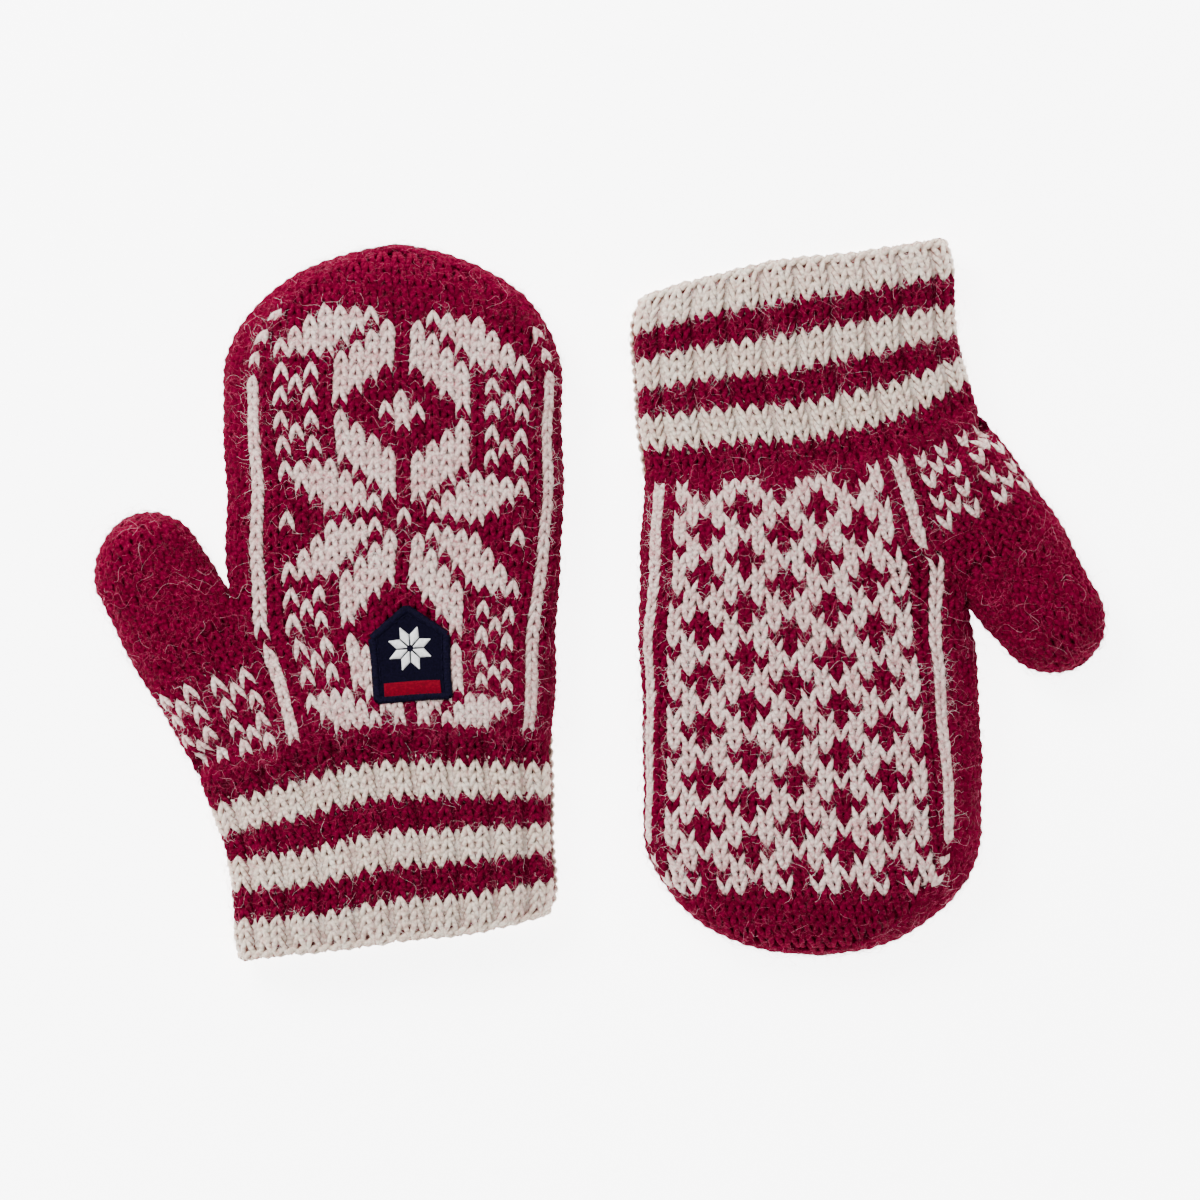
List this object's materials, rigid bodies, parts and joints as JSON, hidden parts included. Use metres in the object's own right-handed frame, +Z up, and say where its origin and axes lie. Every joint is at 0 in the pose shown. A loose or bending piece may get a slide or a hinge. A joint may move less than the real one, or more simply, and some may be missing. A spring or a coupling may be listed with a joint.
{
  "type": "knitted mittens",
  "caption": "Pair of children's stranded-knit mittens, one back up and one palm up, with striped ribbed cuffs, thumb gussets and a small sewn badge.",
  "frame": {"origin": "centre of the pair's box, on the surface that the pair lies on", "axes": "+X across the pair from the right mitten to the left one, +Y along the right mitten's fingers, +Z up from the surface"},
  "size_m": [0.2418, 0.1706, 0.0187],
  "materials": {
    "red_yarn": "fuzzy woollen yarn, matt, deep crimson",
    "cream_yarn": "fuzzy woollen yarn, matt, off-white with a pink cast",
    "navy_cloth": "tightly woven matt badge cloth",
    "navy_thread": "fine polyester sewing thread with a low sheen",
    "badge_red": "satin embroidery thread",
    "badge_white": "satin embroidery thread"
  },
  "bodies": {
    "right_hand": {"right_cuff_edge": "cream_yarn", "right_cuff_cream_stripes": "cream_yarn", "right_cuff_red_stripes": "red_yarn", "right_cuff_side_seam": "cream_yarn", "right_cuff_yarn_end": "cream_yarn", "right_palm_tube": "red_yarn", "right_palm_float_lining": "cream_yarn", "right_knuckle_fold": "red_yarn", "right_thumb_gusset": "red_yarn", "right_thumb_root": "red_yarn", "right_badge_backing": "navy_cloth", "right_badge_border": "navy_cloth", "right_badge_panel": "badge_red", "right_badge_motif": "badge_white", "right_badge_stitches": "navy_thread"},
    "right_fingers": {"right_finger_tube": "red_yarn", "right_finger_float_lining": "cream_yarn", "right_crown": "red_yarn", "right_crown_yarn_end": "red_yarn"},
    "right_thumb": {"right_thumb_tip": "red_yarn", "right_thumb_yarn_end": "red_yarn"},
    "left_hand": {"left_cuff_edge": "cream_yarn", "left_cuff_cream_stripes": "cream_yarn", "left_cuff_red_stripes": "red_yarn", "left_cuff_side_seam": "cream_yarn", "left_cuff_yarn_end": "cream_yarn", "left_palm_tube": "red_yarn", "left_palm_float_lining": "cream_yarn", "left_knuckle_fold": "red_yarn", "left_thumb_gusset": "red_yarn", "left_thumb_root": "red_yarn", "left_badge_backing": "navy_cloth", "left_badge_border": "navy_cloth", "left_badge_panel": "badge_red", "left_badge_motif": "badge_white", "left_badge_stitches": "navy_thread"},
    "left_fingers": {"left_finger_tube": "red_yarn", "left_finger_float_lining": "cream_yarn", "left_crown": "red_yarn", "left_crown_yarn_end": "red_yarn"},
    "left_thumb": {"left_thumb_tip": "red_yarn", "left_thumb_yarn_end": "red_yarn"}
  },
  "joints": [
    {"name": "left_mitten_lift", "type": "slide", "parent": "right_hand", "child": "left_hand", "axis": [0, 0, 1], "range_m": [0, 0.15]},
    {"name": "right_fingers_fold", "type": "hinge", "parent": "right_hand", "child": "right_fingers", "pos_m": [-0.04957, 0.02718, 0.009], "axis": [1, 0, 0], "range_deg": [0, 60], "deforming": ["right_knuckle_fold"]},
    {"name": "right_thumb_swing", "type": "hinge", "parent": "right_hand", "child": "right_thumb", "pos_m": [-0.09415, -0.00089, 0.008], "axis": [0, 0, -1], "range_deg": [-25, 15], "deforming": ["right_thumb_root"]},
    {"name": "left_fingers_fold", "type": "hinge", "parent": "left_hand", "child": "left_fingers", "pos_m": [0.05044, -0.02795, 0.009], "axis": [-0.9991, -0.0419, 0], "range_deg": [0, 60], "deforming": ["left_knuckle_fold"]},
    {"name": "left_thumb_swing", "type": "hinge", "parent": "left_hand", "child": "left_thumb", "pos_m": [0.09358, 0.00231, 0.008], "axis": [0, 0, -1], "range_deg": [-25, 15], "deforming": ["left_thumb_root"]}
  ]
}
